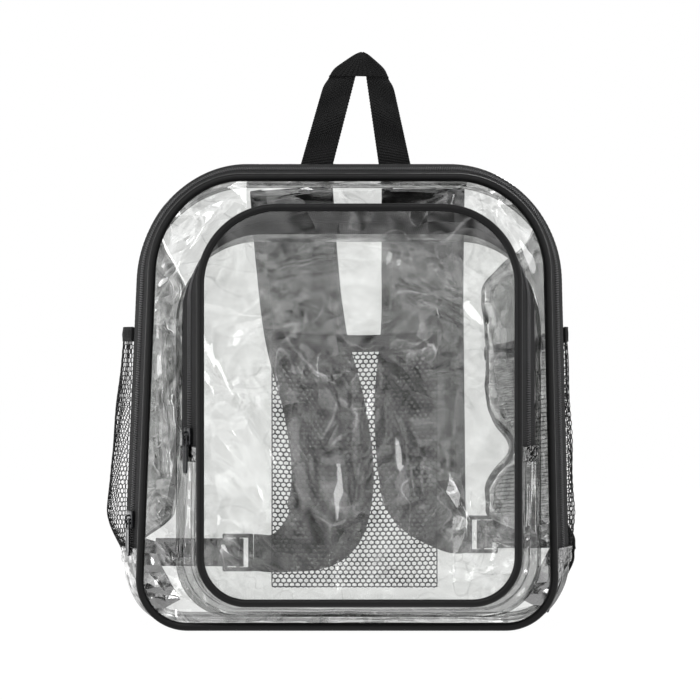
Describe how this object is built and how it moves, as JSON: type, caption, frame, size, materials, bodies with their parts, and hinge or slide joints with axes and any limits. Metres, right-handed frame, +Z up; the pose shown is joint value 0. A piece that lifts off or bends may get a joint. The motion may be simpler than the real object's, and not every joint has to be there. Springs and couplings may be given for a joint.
{
  "type": "backpack",
  "caption": "Clear vinyl backpack with black piping, a zipped main compartment and front pocket, mesh pockets, a folded webbing handle and padded shoulder straps",
  "frame": {"origin": "middle of the flat bottom of the main compartment, on the surface that the bag stands on", "axes": "+Z up, the front faces -Y, +X is on the right in the front view"},
  "size_m": [0.3366, 0.2084, 0.4058],
  "materials": {
    "vinyl": "clear film, glossy",
    "piping": "satin black",
    "zip_tape": "woven, matte",
    "zip_coil": "matte",
    "net": "open mesh, matte",
    "elastic": "woven, matte",
    "webbing": "ribbed weave, matte",
    "padding": "matte",
    "buckle": "moulded, satin",
    "enamel": "satin enamel"
  },
  "bodies": {
    "bag": {"front_panel": "vinyl", "upper_gusset": "vinyl", "lower_gusset": "vinyl", "back_binding": "vinyl", "back_panel": "vinyl", "pocket_front": "vinyl", "pocket_upper_gusset": "vinyl", "pocket_lower_gusset": "vinyl", "body_piping": "piping", "pocket_piping": "piping", "body_zip_front_tape": "zip_tape", "body_zip_rear_tape": "zip_tape", "pocket_zip_front_tape": "zip_tape", "pocket_zip_rear_tape": "zip_tape", "body_zip_coil": "zip_coil", "pocket_zip_coil": "zip_coil", "left_side_net": "net", "right_side_net": "net", "inner_net": "net", "left_side_elastic": "elastic", "right_side_elastic": "elastic", "inner_elastic": "elastic", "handle": "webbing", "left_webbing": "webbing", "right_webbing": "webbing", "left_strap": "padding", "right_strap": "padding", "left_buckle": "buckle", "right_buckle": "buckle", "body_slider": "enamel", "pocket_slider": "enamel"},
    "body_pull": {"body_pull": "enamel"},
    "pocket_pull": {"pocket_pull": "enamel"}
  },
  "joints": [
    {"name": "body_pull_swing", "type": "hinge", "parent": "bag", "child": "body_pull", "pos_m": [-0.1517, -0.03956, 0.075], "axis": [-0.3955, 0.9185, 0], "range_deg": [0, 170]},
    {"name": "pocket_pull_swing", "type": "hinge", "parent": "bag", "child": "pocket_pull", "pos_m": [-0.11036, -0.0801, 0.133], "axis": [-0.432, 0.9019, 0], "range_deg": [0, 170]}
  ]
}
